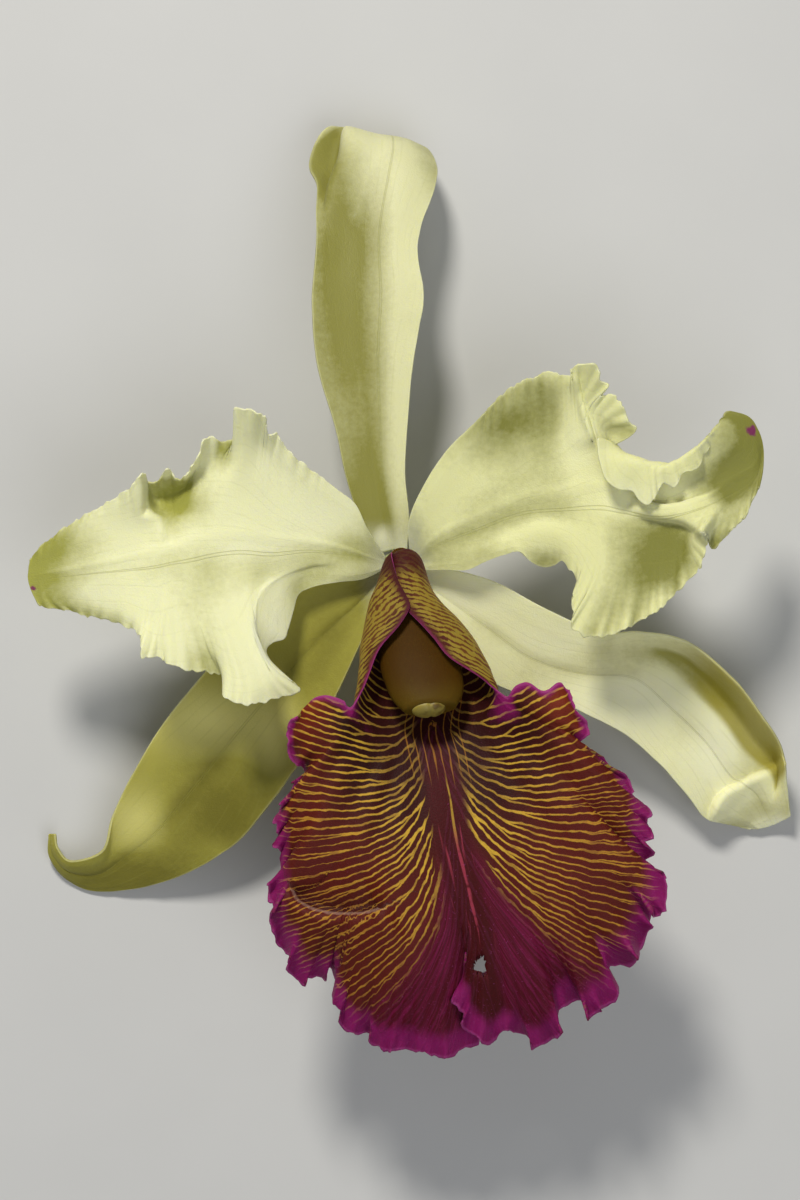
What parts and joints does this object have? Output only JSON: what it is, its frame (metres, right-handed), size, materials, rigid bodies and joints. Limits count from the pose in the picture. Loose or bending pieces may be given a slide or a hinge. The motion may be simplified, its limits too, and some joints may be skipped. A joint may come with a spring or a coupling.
{
  "type": "orchid bloom",
  "caption": "Picked cattleya orchid bloom lying face up, with strap-shaped sepals, broad ruffled petals and a large frilled lip rolled round the column, on a cut stalk.",
  "frame": {"origin": "on the table, under the middle of the bloom's box", "axes": "+Z the way the flower faces, +Y from the flower's middle towards the upright sepal, +X towards the right petal as seen face on"},
  "size_m": [0.1548, 0.1875, 0.0541],
  "materials": {
    "sepal": "smooth waxy yellow-green plant tissue with fine parallel veins",
    "petal": "thin pale yellow plant tissue, papery and slightly see-through",
    "lip": "velvety dark magenta plant tissue with branching gold veins",
    "column": "waxy amber plant tissue",
    "anther_cap": "waxy pale yellow-green plant tissue",
    "stalk": "firm green plant tissue with shallow ribs"
  },
  "bodies": {
    "root": {"dorsal_sepal": "sepal", "lateral_sepal_left": "sepal", "lateral_sepal_right": "sepal", "petal_left": "petal", "petal_right": "petal", "lip": "lip", "column": "column", "anther_cap": "anther_cap", "pedicel": "stalk"}
  },
  "joints": []
}
